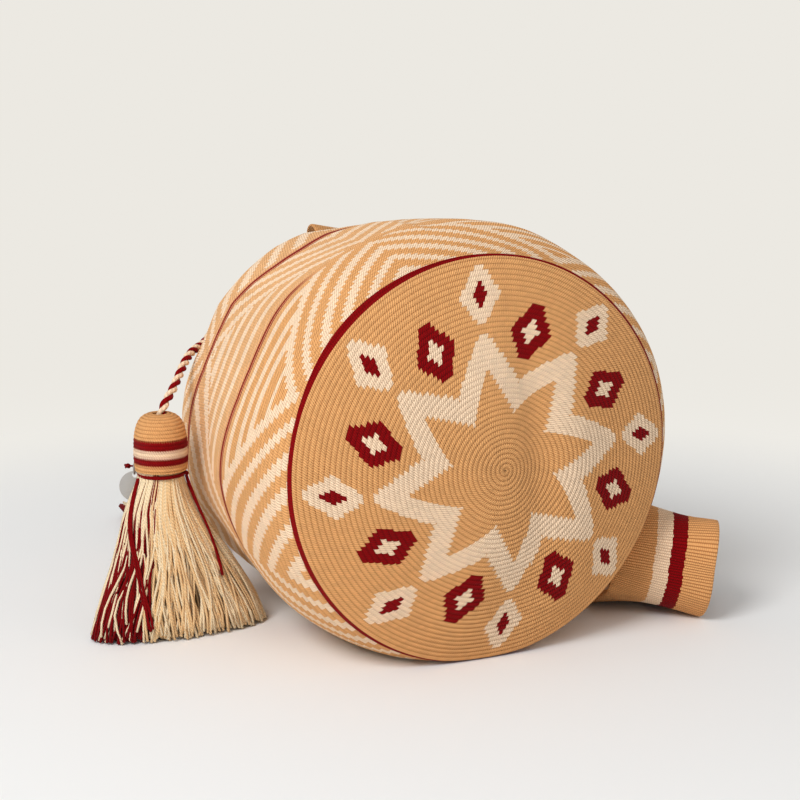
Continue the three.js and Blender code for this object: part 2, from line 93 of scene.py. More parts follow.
def row_frame(points):
    """Points of the bag's own frame, in millimetres, as metres in the shared frame."""
    return (np.asarray(points, float) - (0, REST_CENTRE, 0)) * 0.001


def unit(vectors):
    vectors = np.asarray(vectors, float)
    return vectors / np.maximum(np.linalg.norm(vectors, axis=-1, keepdims=True), 1e-12)


def smoothstep(x, low, high):
    s = np.clip((np.asarray(x, float) - low) / (high - low), 0, 1)
    return s * s * (3 - 2 * s)


def circled(turn, across, up):
    """The ways at angles of a circle that runs from one way to another."""
    return np.cos(turn)[..., None] * across + np.sin(turn)[..., None] * up


def square_to(vectors, along):
    """Unit vectors, with what they have of another way taken out."""
    return unit(vectors - along * (vectors * along).sum(-1, keepdims=True))


def cubic(s):
    """The weights of a cubic piece at s: of its start, its slope there, its end and its slope there."""
    return 2 * s**3 - 3 * s**2 + 1, s**3 - 2 * s**2 + s, 3 * s**2 - 2 * s**3, s**3 - s**2


# ---- the shapes that the frame has too

def table_at(table, column, t):
    """Smooth value of one column of a table at t, by cubic pieces through its rows."""
    x, y = table[:, 0], table[:, column]
    last = len(x) - 1
    before = np.maximum(np.arange(last + 1) - 1, 0)
    after = np.minimum(np.arange(last + 1) + 1, last)
    slope = (y[after] - y[before]) / (x[after] - x[before])
    i = np.clip(np.searchsorted(x, t) - 1, 0, last - 1)
    h = x[i + 1] - x[i]
    start, start_slope, end, end_slope = cubic((t - x[i]) / h)
    return start * y[i] + start_slope * h * slope[i] + end * y[i + 1] + end_slope * h * slope[i + 1]


def wall_point(t, degrees):
    t, degrees = np.broadcast_arrays(np.asarray(t, float), np.asarray(degrees, float))
    half_width, half_height, centre, lean = (table_at(SECTIONS, c, t) for c in (1, 2, 3, 4))
    angle, lean = np.radians(degrees), np.radians(lean)
    up = half_height * np.sin(angle)
    z = centre + np.cos(lean) * up
    z = np.where(z > 4, z, np.where(z < -4, 0, (z + 4) ** 2 / 16))
    return np.stack([half_width * np.cos(angle), t - np.sin(lean) * up, z], -1)


def wall_normal(t, degrees):
    along = wall_point(t + 1, degrees) - wall_point(t - 1, degrees)
    around = wall_point(t, degrees + 1) - wall_point(t, degrees - 1)
    return unit(np.cross(along, around))


def base_point(r, degrees):
    r, degrees = np.broadcast_arrays(np.asarray(r, float), np.asarray(degrees, float))
    centre = np.array([0, 0, 124.0])
    point = centre + (wall_point(0 * r, degrees) - centre) * r[..., None]
    point[..., 1] -= BASE_BULGE * (1 - r**2.4)
    return point


def base_normal(r, degrees):
    r = np.maximum(r, 0.02)
    outward = base_point(r + 0.01, degrees) - base_point(r - 0.01, degrees)
    around = base_point(r, degrees + 1) - base_point(r, degrees - 1)
    return unit(np.cross(outward, around))


def curve_through(points, *others, parts=24):
    """A smooth curve through points, by centripetal Catmull-Rom pieces, and the other rows at the same places."""
    points = np.asarray(points, float)
    gaps = np.linalg.norm(np.diff(points, axis=0), axis=1) ** 0.5
    u = np.arange(0, len(points) - 1, 1 / parts)
    u = np.append(u, len(points) - 1)

    def pieces(rows, knots):
        rows = np.asarray(rows, float)
        rows = np.vstack([2 * rows[0] - rows[1], rows, 2 * rows[-1] - rows[-2]])
        d = np.concatenate([[knots[0]], knots, [knots[-1]]])
        i = np.minimum(u.astype(int), len(points) - 2)
        a, b, c, e = rows[i], rows[i + 1], rows[i + 2], rows[i + 3]
        d0, d1, d2 = d[i][:, None], d[i + 1][:, None], d[i + 2][:, None]
        start = ((b - a) / d0 - (c - a) / (d0 + d1) + (c - b) / d1) * d1
        end = ((c - b) / d1 - (e - b) / (d1 + d2) + (e - c) / d2) * d1
        w = cubic((u - i)[:, None])
        return w[0] * b + w[1] * start + w[2] * c + w[3] * end

    made = [pieces(points, gaps)]
    for rows in others:
        own = np.maximum(np.linalg.norm(np.diff(np.asarray(rows, float), axis=0), axis=1) ** 0.5, 1e-4)
        own = np.where(own <= 1e-4, 1.0, own)
        made.append(pieces(rows, own))
    return made if others else made[0]


def lengths_along(points):
    return np.concatenate([[0], np.cumsum(np.linalg.norm(np.diff(points, axis=0), axis=1))])


def evenly(points, count, *others):
    """The same curve as count points an even length apart."""
    along = lengths_along(points)
    at = np.linspace(0, along[-1], count)
    made = [
        np.stack([np.interp(at, along, rows[:, k]) for k in range(rows.shape[1])], -1) for rows in (points, *others)
    ]
    return made if others else made[0]


def ways_along(path, start):
    """The way along a path and the two ways across it, which turn no more than the path does."""
    tangent = unit(np.gradient(path, axis=0))
    normal = np.zeros_like(path)
    first = np.cross(tangent[0], start)
    normal[0] = first / np.linalg.norm(first)
    for i in range(1, len(path)):
        across = normal[i - 1] - tangent[i] * (normal[i - 1] @ tangent[i])
        normal[i] = across / np.linalg.norm(across)
    return tangent, normal, np.cross(tangent, normal)


# ---- meshes

def piece(name, points, faces, materials, coords=None, which=None):
    """An object from points in metres, its faces, and the coordinates of its finish at each of their corners."""
    mesh = bpy.data.meshes.new(name)
    mesh.from_pydata(points.tolist(), [], faces)
    for material in materials:
        mesh.materials.append(material)
    if coords is not None:
        layer = mesh.uv_layers.new(name="stitches")
        layer.uv.foreach_set("vector", np.asarray(coords, np.float32).ravel())
    if which is not None:
        mesh.polygons.foreach_set("material_index", np.asarray(which, np.int32))
    mesh.polygons.foreach_set("use_smooth", np.ones(len(mesh.polygons), bool))
    mesh.update()
    obj = bpy.data.objects.new(name, mesh)
    scene.collection.objects.link(obj)
    return obj


def bag_piece(*made):
    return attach(piece(*made), "bag")


def grid(rows, columns):
    """Row and column numbers from 0, the last ones included."""
    return np.meshgrid(np.arange(rows + 1), np.arange(columns + 1), indexing="ij")


def ring_numbers(count, sides):
    """Numbers of the points of rings, with the first of each ring again at its end."""
    return np.arange(count)[:, None] * sides + np.arange(sides + 1)[None] % sides


def skin(ids, coords, keep=None):
    """Faces over a grid of point numbers, with their coordinates, less the corners that fall together."""
    quads = np.stack([ids[:-1, :-1], ids[:-1, 1:], ids[1:, 1:], ids[1:, :-1]], -1).reshape(-1, 4)
    uvs = np.stack([coords[:-1, :-1], coords[:-1, 1:], coords[1:, 1:], coords[1:, :-1]], 2).reshape(-1, 4, 2)
    if keep is not None:
        quads, uvs = quads[keep.ravel()], uvs[keep.ravel()]
    same = quads == np.roll(quads, -1, axis=1)
    faces, corners = [], []
    for quad, uv, double in zip(quads.tolist(), uvs.tolist(), same.tolist()):
        kept = [k for k in range(4) if not double[k]]
        if len(kept) < 3:
            continue
        faces.append([quad[k] for k in kept])
        corners.extend(uv[k] for k in kept)
    return faces, corners


def tubes(name, paths, radii, sides, materials, which=None):
    """Tubes along paths in metres, as one piece. Its coordinates run round a tube and along it, in millimetres."""
    points, faces, corners, slots = [], [], [], []
    start = 0
    turn = 2 * np.pi * np.arange(sides) / sides
    for n, path in enumerate(paths):
        path = np.asarray(path, float)
        count = len(path)
        radius = np.broadcast_to(np.asarray(radii[n] if isinstance(radii, list) else radii, float), (count,))
        tangent, normal, side = ways_along(path, (0.31, 0.52, 0.79))
        ring = path[:, None] + radius[:, None, None] * circled(turn, normal[:, None], side[:, None])
        points.append(ring.reshape(-1, 3))
        points.append(path[[0, -1]] + tangent[[0, -1]] * radius[[0, -1], None] * [[-0.4], [0.4]])
        ids = start + ring_numbers(count, sides)
        along = lengths_along(path) * 1000 + 0.83 * n
        uv = np.stack(np.broadcast_arrays(np.arange(sides + 1)[None] / sides, along[:, None]), -1)
        f, c = skin(ids, uv)
        low, high = start + count * sides, start + count * sides + 1
        for k in range(sides):
            f.append([low, ids[0, k + 1], ids[0, k]])
            c.extend([[0.5, along[0]], [(k + 1) / sides, along[0]], [k / sides, along[0]]])
            f.append([high, ids[-1, k], ids[-1, k + 1]])
            c.extend([[0.5, along[-1]], [k / sides, along[-1]], [(k + 1) / sides, along[-1]]])
        faces += f
        corners += c
        slots += [which[n] if which is not None else 0] * len(f)
        start += count * sides + 2
    return bag_piece(name, np.vstack(points), faces, materials, corners, slots)


def wound(path, offset, lay, phase, step=0.8):
    """A strand that winds round a path, in millimetres."""
    count = max(int(lengths_along(path)[-1] / step), 8)
    path = evenly(path, count)
    _, normal, side = ways_along(path, (0.1, 0.2, 0.97))
    turn = 2 * np.pi * lengths_along(path) / lay + phase
    return path + offset * circled(turn, normal, side)


# ---- materials

def maths(operation):
    return lambda wire, *others: wire.finish.node("Math", {"operation": operation}, wire, *others)


class Wire:
    """A number or colour on its way through a finish, so that its maths reads as Python."""

    def __init__(self, finish, socket):
        self.finish, self.socket = finish, socket

    __add__ = __radd__ = maths("ADD")
    __sub__ = maths("SUBTRACT")
    __mul__ = __rmul__ = maths("MULTIPLY")
    __pow__ = maths("POWER")
    __mod__ = maths("FLOORED_MODULO")
    __lt__ = maths("LESS_THAN")
    __gt__ = maths("GREATER_THAN")
    __abs__ = maths("ABSOLUTE")
    floor, frac, sine = maths("FLOOR"), maths("FRACT"), maths("SINE")
    least, most = maths("MINIMUM"), maths("MAXIMUM")

    def __rsub__(self, other): return self.finish.node("Math", {"operation": "SUBTRACT"}, other, self)
    def clip(self): return self.most(0).least(1)
    def from_whole(self): return self - (self + 0.5).floor()

    def smooth(self, low, high):
        """0 below low, 1 above high and smooth between them."""
        return self.finish.node("MapRange", {"interpolation_type": "SMOOTHSTEP"}, self, low, high, 0, 1)


class Finish:
    """One material, with its Principled shader's constants set on the shader itself."""

    def __init__(self, name, **constants):
        self.material = bpy.data.materials.new(name)
        self.material.use_nodes = True
        self.nodes = self.material.node_tree.nodes
        self.links = self.material.node_tree.links
        self.shader = self.nodes["Principled BSDF"]
        for key, value in constants.items():
            self.shader.inputs[key.replace("_", " ")].default_value = value

    def node(self, kind, settings=None, *values, out=0, **named):
        made = self.nodes.new("ShaderNode" + kind)
        for key, value in (settings or {}).items():
            setattr(made, key, value)
        for key, value in [*enumerate(values), *named.items()]:
            self.feed(made.inputs[key.replace("_", " ") if isinstance(key, str) else key], value)
        return Wire(self, made.outputs[out])

    def feed(self, socket, value):
        if isinstance(value, Wire):
            self.links.new(value.socket, socket)
        else:
            is_colour = isinstance(value, tuple) and len(value) == 3 and socket.type == "RGBA"
            socket.default_value = (*value, 1) if is_colour else value

    def split(self, place):
        """The first two numbers of a place."""
        first = self.node("SeparateXYZ", None, place)
        return first, Wire(self, first.socket.node.outputs[1])

    def places(self):
        """The two coordinates of the piece's own finish."""
        return self.split(self.node("UVMap", {"uv_map": "stitches"}))

    def mix(self, factor, a, b, blend="MIX"):
        made = self.nodes.new("ShaderNodeMix")
        made.data_type, made.blend_type = "RGBA", blend
        for key, value in (("Factor_Float", factor), ("A_Color", a), ("B_Color", b)):
            self.feed(next(s for s in made.inputs if s.identifier == key), value)
        return Wire(self, next(s for s in made.outputs if s.identifier == "Result_Color"))

    def shade(self, colour, amount):
        """The colour made lighter or darker by an amount of which 1 is none."""
        return self.mix(1.0, colour, self.node("CombineColor", None, amount, amount, amount), "MULTIPLY")

    def paint_groove_shade(self, colour, amount):
        """The colour mixed towards a brown painted shade, as falls in the grooves, by an amount of which 0 is none.
        """
        return self.mix(amount, colour, self.mix(1.0, colour, GROOVE_SHADE, "MULTIPLY"))

    def chance(self, *numbers):
        """A number from 0 to 1 that belongs to these numbers."""
        return self.node("TexWhiteNoise", {"noise_dimensions": "3D"}, self.node("CombineXYZ", None, *numbers))

    def noise(self, scale, detail=3.0, stretch=None):
        where = self.node("TexCoord", None, out="Object")
        if stretch:
            where = self.node("Mapping", None, where, Scale=stretch)
        return self.node("TexNoise", None, where, Scale=scale, Detail=detail, Roughness=0.6)

    def finish(self, colour, roughness=None, height=None, depth=0.0005, strength=0.6):
        self.feed(self.shader.inputs["Base Color"], colour)
        if roughness is not None:
            self.feed(self.shader.inputs["Roughness"], roughness)
        if height is not None:
            bump = self.node("Bump", None, Strength=strength, Distance=depth, Height=height)
            self.feed(self.shader.inputs["Normal"], bump)
        return self.material


def cotton(name):
    return Finish(name, Roughness=0.9, Sheen_Weight=0.03, Sheen_Roughness=0.5, IOR=1.4, Specular_IOR_Level=0.12)


def crocheted(f, base, stitch, number, groove, leaf, height, depth, strength, pale=0.0):
    """Crochet yarn: brown painted shade in the grooves, painted light on the stitch tops and painted shade at their
    sides, a little different from stitch to stitch, with a fine fibre.
    """
    tint = f.chance(stitch, number, 0.0)
    fibre = f.noise(900.0)
    # Share of painted groove shade: less on the stitch tops and on cream
    groove_shade = (1 - groove) * (1 - 0.55 * leaf) * (1 - 0.6 * pale)
    # The leaf term is painted light on the stitch tops and painted shade at their sides; tint and fibre are the
    # yarn's own tone
    amount = 0.98 + 0.10 * (tint - 0.5) + 0.16 * (leaf - 0.5) + 0.16 * (fibre - 0.5)
    return f.finish(f.shade(f.paint_groove_shade(base, groove_shade), amount), height=height, depth=depth, strength=strength)


def stitch_parts(x, rounds):
    """The slanted stitches of a row: round number, place in the round, stitch number and the two reliefs."""
    number = rounds.floor()
    inside = rounds - number
    slanted = x + 0.7 * inside + 0.5 * (number % 2)
    stitch = slanted.floor()
    leaf = 1 - abs((slanted * 2).frac() * 2 - 1) ** 2.0
    groove = (1 - abs(inside * 2 - 1) ** 3.5).clip()
    return number, inside, stitch, leaf, groove


def base_crochet():
    """The round base: an eight-pointed star in cream, with red and cream motifs round it on tan."""
    f = cotton("crochet_base")
    turn, rounds = f.places()
    number, inside, stitch, leaf, groove = stitch_parts(turn * (rounds.floor() + 0.5) * (32 / BASE_ROUNDS), rounds)
    r = (number + 0.5) * (1 / BASE_ROUNDS)
    in_section = r * 32
    drifted = turn + (r - 0.65) * (13 / 45)

    def from_line(offset):
        x = (drifted - offset).from_whole() * in_section
        return abs(((x + 0.45 * (inside - 0.5)) * 2).floor() * 0.5 + 0.25)

    at_tip, at_middle = from_line(0.0), from_line(0.5)

    def motif(x, middle, reach, width, slope):
        away = abs(number - middle)
        return (x < (width + 0.3 - slope * away)) * (away < reach + 0.5)

    below = (number * -0.67 + (0.9 + 0.67 * 27.3))
    star = (at_tip < below) * (at_tip > (number * -0.52 + 0.52 * 20.8)) * (number > 11.5) * (number < 27.5)
    red_motif = motif(at_middle, 28, 5, 4.3, 0.64)
    red_heart = motif(at_middle, 28, 2, 1.5, 0.7)
    cream_motif = motif(at_tip, 35, 5, 4.3, 0.68)
    cream_heart = motif(at_tip, 35, 2, 1.4, 0.6)
    edge = (rounds - (turn * 0.125)) > (BASE_ROUNDS - 0.5)
    cream = (star + cream_motif * (1 - cream_heart) + red_heart).clip()
    red = (red_motif * (1 - red_heart) + cream_heart * cream_motif + edge).clip()
    colour = f.mix(red, f.mix(cream, TAN, CREAM), RED)
    fibre = f.noise(1400.0, 2.0)
    height = leaf * 0.55 + groove * 0.3 + fibre * 0.35
    return crocheted(f, colour, stitch, number, groove, leaf, height, 0.0009, 0.9, cream)


def wall_crochet():
    """The wall: four large nested diamonds in cream on tan, with two narrow doubled red lines."""
    f = cotton("crochet_wall")
    x, rounds = f.places()
    number, inside, stitch, leaf, groove = stitch_parts(x, rounds)
    from_middle = abs((x * (4 / STITCHES)).from_whole() * (STITCHES / 4))
    away = ((from_middle + 0.3 * (inside - 0.5)) * 2).floor() * 0.5 + 0.25
    at = number + 0.5

    def striped(value, middle, period, share=0.22):
        return abs(((value - middle) * (1 / period)).from_whole()) < share

    def opening_down(first):
        side = (at - first) - away
        within = side > 4.4
        return within * striped(at, first + 8.5, 4.45) + (1 - within) * striped(side, 3.0, 6.2)

    def opening_up(last):
        side = (last - at) - 0.95 * away
        within = side > 2.6
        return within * striped(at, last - 22.0, 4.85) + (1 - within) * striped(side, 0.5, 6.6)

    first = at < RING_1
    last = at > RING_2
    between = (1 - first) * (1 - last)
    cream = first * opening_down(0.0) + between * opening_up(RING_2) + last * opening_down(RING_2 + 3.0)
    from_rings = abs(rounds - RING_1).least(abs(rounds - RING_2))
    cream = cream * (from_rings > 1.6) * (at < WALL_ROUNDS - 3)
    # Painted light: past the first ring the tan is painted paler and lighter
    lit_share = rounds.smooth(RING_1 - 6, RING_1 + 6)
    colour = f.mix(cream, f.mix(lit_share * 0.55, TAN, LIT_TAN), CREAM)
    tucked = abs(x + 45).smooth(22, 30).most(rounds > RING_1 + 8)
    rose = (1 - from_rings.smooth(0.6, 1.6)) * tucked
    line = (abs(from_rings - 0.5) < 0.30) * tucked
    edge = ((((x + 23) * (2 * math.pi / STITCHES) + math.pi / 2).sine()).most(0) ** 8.0) * 1.35 + 0.8
    red = (line * 0.95 + (rounds < edge)).clip()
    colour = f.mix(rose * 0.5, colour, ROSE)
    colour = f.mix(red, colour, RED)
    fibre = f.noise(1400.0, 2.0)
    height = leaf * 0.7 + groove * 0.35 + fibre * 0.35
    return crocheted(f, colour, stitch, number, 0.45 + 0.55 * groove, leaf, height, 0.0008, 0.8, cream)


def yarn(name, colour, lay):
    """Twisted thread along a tube: its two plies wind round it, with painted light on their crests and painted shade
    between them.
    """
    f = cotton(name)
    around, along = f.places()
    ply = ((around * 2.0 + along * (1 / lay)) * (2 * math.pi)).sine()
    fibre = f.noise(1500.0, 2.0)
    # The ply term is painted light on the plies' crests and painted shade between them; the fibre term is the yarn's
    # own tone
    amount = 0.90 + 0.13 * ply + 0.18 * (fibre - 0.5)
    return f.finish(f.shade(colour, amount), height=ply * 0.5 + fibre * 0.4, depth=0.0003, strength=0.7)


def strap_weave():
    """Flat weave: ribs across the strap, with one cream stripe and one red one along it."""
    f = cotton("strap_weave")
    across, along = f.places()
    rib = along * (1 / RIB)
    number = rib.floor()
    inside = rib - number
    wale = across * (1 / WALE)
    checker = 0.5 * (number % 2)
    wale_part = (wale + checker).frac()
    leaf = 1 - abs(wale_part * 2 - 1) ** 2.0
    groove = (1 - abs(inside * 2 - 1) ** 2.5).clip()
    edge = 0.9 * (f.chance(number, 3.0, 0.0) - 0.5)
    at = across + edge
    cream = (at > CREAM_STRIPE[0]) * (at < CREAM_STRIPE[1])
    red = (at > RED_STRIPE[0]) * (at < RED_STRIPE[1])
    colour = f.mix(red, f.mix(cream, TAN, CREAM), RED)
    fibre = f.noise(1200.0, 2.0)
    # Painted shade in the grooves between ribs, weaker on cream
    shown = f.paint_groove_shade(colour, (1 - groove) * (1 - 0.5 * cream))
    # The leaf term is painted light on each wale's middle and painted shade at its sides; fibre and the rib chance
    # are the yarn's own tone
    amount = 0.96 + 0.20 * (leaf - 0.5) + 0.16 * (fibre - 0.5) + 0.08 * (f.chance(number, 7.0, 0.0) - 0.5)
    return f.finish(
        f.shade(shown, amount), height=leaf * 0.6 + groove * 0.7 + fibre * 0.25, depth=0.0005, strength=0.9,
    )


def cap_crochet():
    """Crocheted cap: tan dome, then red, cream, red and tan rounds."""
    f = cotton("cap_crochet")
    x, rounds = f.places()
    number, _, stitch, leaf, groove = stitch_parts(x, rounds)
    waver = rounds + 0.7 * (leaf - 0.5)
    red = ((waver > 9.0) * (waver < 11.6) + (waver > 13.6) * (waver < 15.6)).clip()
    cream = (waver > 11.6) * (waver < 13.6)
    colour = f.mix(cream, f.mix(red, TAN, RED), CREAM)
    fibre = f.noise(1400.0, 2.0)
    height = leaf * 0.7 + groove * 0.3 + fibre * 0.3
    return crocheted(f, colour, stitch, number, groove, leaf, height, 0.0007, 0.8)


def brushed_steel():
    f = Finish("brushed_steel", Metallic=1.0, Roughness=0.38)
    long_marks = f.noise(260.0, 4.0, (1.0, 1.0, 14.0))
    dents = f.noise(120.0)
    return f.finish(
        f.shade(STEEL, 0.9 + 0.2 * long_marks),
        roughness=0.26 + 0.22 * long_marks, height=long_marks * 0.5 + dents * 0.6, depth=0.0002, strength=0.35,
    )


def floor_finish():
    """Pale floor that takes the bag's shadow, and far from the bag the plain tone of the studio."""
    f = Finish("pale_floor", Roughness=0.95)
    f.feed(f.shader.inputs["Base Color"], FLOOR)
    aside, depth = f.split(f.node("TexCoord", None, out="Object"))
    ray = f.node("LightPath", None, out="Is Camera Ray")
    seen = (ray + Wire(f, ray.socket.node.outputs["Is Glossy Ray"])).clip()
    seen = (seen + Wire(f, ray.socket.node.outputs["Is Transmission Ray"])).clip()
    far = (aside * aside + depth * depth).smooth(0.06, 0.42)
    tone = f.mix(depth.smooth(-0.4, 0.9), STUDIO_NEAR, STUDIO_FAR)
    plain = f.node("Emission", None, tone, 1.0)
    both = f.node("MixShader", None, far * seen, Wire(f, f.shader.outputs[0]), plain)
    f.links.new(both.socket, f.nodes["Material Output"].inputs["Surface"])
    return f.material


def refinish(node, material):
    """Give a piece of the frame a finish made here."""
    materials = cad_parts[node].data.materials
    materials.clear()
    materials.append(material)


# ---- camera

def aimed(name, data, location, way):
    """A camera or a light at a place, turned along a way."""
    obj = bpy.data.objects.new(name, data)
    obj.location = location
    obj.rotation_mode = "QUATERNION"
    obj.rotation_quaternion = way.to_track_quat("-Z", "Y")
    scene.collection.objects.link(obj)
    return obj


def set_camera():
    data = bpy.data.cameras.new("camera")
    data.lens, data.sensor_width = 85, 36
    data.clip_end = 30
    turn, rise = math.radians(CAMERA_TURN), math.radians(CAMERA_RISE)
    back = Vector((math.sin(turn) * math.cos(rise), -math.cos(turn) * math.cos(rise), math.sin(rise)))
    scene.camera = aimed("camera", data, CAMERA_PLACE, -back)


set_camera()

base_finish = base_crochet()
wall_finish = wall_crochet()
strap_finish = strap_weave()
cap_finish = cap_crochet()
steel_finish = brushed_steel()
red_strand = yarn("red_strand", RED, 3.2)
cream_strand = yarn("cream_strand", CREAM, 3.2)
red_thread = yarn("red_thread", (0.21, 0.0008, 0.002), 2.4)
cream_thread = yarn("cream_thread", (0.95, 0.76, 0.50), 2.2)
straw_thread = yarn("straw_thread", (0.90, 0.61, 0.32), 2.2)


# ---- drawstring

SMOOTHINGS = 50
WAY_B = unit((0.15, 0.99, 0))


def threaded_point(degrees):
    """Where the drawstring runs round the mouth, in at one eyelet and out at the next."""
    swing = WALL / 2 + CORD_RADIUS + CORD_CLEAR
    gap = 360 / EYELETS
    k = math.floor((FIRST_EYELET - degrees) / gap)
    angles = FIRST_EYELET - gap * k, FIRST_EYELET - gap * (k + 1)
    pitch = np.linalg.norm(wall_point(EYELET_AT, angles[0]) - wall_point(EYELET_AT, angles[1]))
    past = ((FIRST_EYELET - degrees) / gap - k) * pitch
    ramp = min(min(past, pitch - past) / (WEAVE_RAMP / 2), 1)
    side = -1 if k % 2 == 0 else 1
    offset = side * swing * math.sin(ramp * math.pi / 2) - WALL / 2
    return wall_point(EYELET_AT, degrees) + wall_normal(EYELET_AT, degrees) * offset


def drawstring_route():
    """The whole drawstring, from the knot in the standing tassel round the mouth to the knot in the lying one."""
    last = FIRST_EYELET - 360 / EYELETS * (EYELETS - 1)
    threaded_to = (last + last + 360 / EYELETS) / 2
    threaded = [threaded_point(d) for d in np.linspace(FIRST_EYELET - 18, threaded_to, 75)]
    end_a = [
        (-88, 214.5, 184), (-98, 211.5, 175.5), (-105.5, 203, 172), (-112, 194, 171.8),
        (-119.5, 184.2, 171.3), (-127.5, 173, 168.5), (-136.5, 160, 162.3), (-144.5, 149.5, 155),
        (-151, 142.6, 149.7), (-155.8, 139.2, 145), (-158, 138, 139.5), TASSEL_A - (0, 0, KNOT_IN_CAP),
    ]
    start, out = wall_point(EYELET_AT, last), wall_normal(EYELET_AT, last)
    up = unit(wall_point(EYELET_AT, last - 2) - start)
    radius, within = 4 * CORD_RADIUS, WALL / 2 + CORD_RADIUS + CORD_CLEAR
    rise = math.sqrt(radius**2 - (radius - within) ** 2)
    bend = [
        start + out * (radius - within - WALL / 2 - radius * math.cos(math.radians(d)))
        + up * (radius * math.sin(math.radians(d)) - rise)
        for d in (20, 45, 70, 95, 120, 145, 170)
    ]
    end_b = [
        threaded_point(threaded_to - 5), *bend, (-132, 224, 70), (-133, 226, 48), (-132, 231, 26), (-125, 239, 9),
        (-115, 249, 3.9), (-105, 259, 6), (-97, 267, 11.5), TASSEL_B, TASSEL_B + WAY_B * 8,
    ]
    return curve_through(np.array([*end_a[::-1], *threaded, *end_b], float), parts=8)


cord_line = drawstring_route()
cord_line = evenly(cord_line, int(lengths_along(cord_line)[-1]))
for _ in range(SMOOTHINGS):
    cord_line[1:-1] = (cord_line[:-2] + 2 * cord_line[1:-1] + cord_line[2:]) / 4
strands = [wound(cord_line, STRAND_OFFSET, CORD_LAY, phase) for phase in (0, math.pi)]
drawstring = tubes(
    "drawstring_cord", [row_frame(s) for s in strands], STRAND_RADIUS / 1000, 8, [red_strand, cream_strand],
    which=[0, 1],
)
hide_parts("drawstring", "drawstring_end_a", "drawstring_end_b")


# ---- crocheted bag

def rest_of_rings(degrees):
    """Distance from the base of the two doubled lines, which waver as the soft wall does."""
    d = np.asarray(degrees, float) % 360
    first = np.interp(d, (0, 60, 90, 120, 136, 142, 150, 157, 165, 172, 180, 188, 195, 210, 225, 250, 360),
                      (77, 82, 84, 84, 85, 82, 75.5, 71, 70, 72.5, 77, 81, 80, 77, 76, 77, 77))
    second = np.interp(d, (0, 60, 90, 120, 128, 135, 142, 150, 157, 162, 167, 173, 180, 192, 250, 360),
                       (168, 158, 146, 143, 148, 155, 158, 156, 154, 154, 158, 163, 168, 173, 172, 168))
    return first, second


def carried(value, marks, others):
    """A value that lies between marks, at the same place between other marks. Both start at 0."""
    (a, b, c), (p, q, r) = marks, others
    return np.where(
        value < a, value / a * p,
        np.where(value < b, p + (value - a) / (b - a) * (q - p), q + (value - b) / (c - b) * (r - q)),
    )


def round_at(rounds, degrees):
    """Distance from the base of a round of the wall."""
    return carried(rounds, (RING_1, RING_2, WALL_ROUNDS), (*rest_of_rings(degrees), BAG_LENGTH))


def rounds_at(t, degrees):
    """The round of the wall that lies at a distance from the base."""
    return carried(t, (*rest_of_rings(degrees), BAG_LENGTH), (RING_1, RING_2, WALL_ROUNDS))


def stitch_at(degrees):
    """Stitches round the wall from the middle of the diamond that faces left: the slack wall spreads unevenly."""
    turns = np.array([-382, -337, -292, -247, -203, -153, -110, -67, -22, 23, 68, 113, 157, 207, 250, 293, 338])
    return np.interp(degrees, turns, (np.arange(len(turns)) - 12) * STITCHES / 8)


PROFILE = np.array([0.0, 0.80, 1.0, 0.80])
COLUMNS = 2 * STITCHES
SEAM = -70.0


def softness(t, degrees):
    """Slow hollows and swells of the wall, in millimetres."""
    a = np.radians(degrees)
    swell = 1.1 * np.sin(3 * a + t * 0.021) * np.sin(t * 0.037 + 0.8) + 0.7 * np.sin(7 * a - t * 0.043 + 1.3)
    first, second = rest_of_rings(degrees)
    crease = -0.9 * np.exp(-(((t - first) / 3.5) ** 2)) - 0.9 * np.exp(-(((t - second) / 3.5) ** 2))
    high = smoothstep(wall_point(t, degrees)[..., 2], 6, 40)
    d = np.asarray(degrees, float) % 360
    slack = np.interp(d, (70, 80, 97, 106, 112, 120, 130, 142, 149, 155, 164, 172, 182, 192, 200, 212),
                      (0, -2, -2.5, 3, 8, 9.5, 9.5, 9, 5.5, 3.6, 3, 2, 1, 2.5, 3, 0))
    centre = np.where(d < 100, 100.0, 184.0 - 30 * smoothstep(d, 175, 200))
    slack = slack * np.exp(-(((t - centre) / 38.0) ** 2))
    return (swell * smoothstep(t, 4, 30) * smoothstep(-t, -250, -225) + crease + slack) * high


# The shallow folds of the slack base: height in millimetres, then middle, lean and reach across, and middle and
# reach upright, as shares of the base's radius
FOLDS = [
    (-2.6, 0.20, 0.10, 0.10, 0.10, 0.55),
    (1.5, 0.42, 0.10, 0.12, 0.10, 0.50),
    (1.4, -0.10, 0.0, 0.20, -0.10, 0.50),
    (-1.6, 0.12, 0.0, 0.14, -0.62, 0.25),
]
FOLD_DEPTH = 1.4


def base_folds(r, degrees):
    """How far the slack base stands out or in, in millimetres."""
    x, z = r * np.cos(np.radians(degrees)), r * np.sin(np.radians(degrees))
    folds = sum(
        height * np.exp(-(((x - middle + lean * z) / across) ** 2) - ((z - up) / reach) ** 2)
        for height, middle, lean, across, up, reach in FOLDS
    )
    ripple = 0.5 * np.sin(9 * x + 4 * z + 0.6) * np.sin(5 * z - 3 * x)
    return FOLD_DEPTH * (folds + ripple) * smoothstep(-r, -1, -0.8)


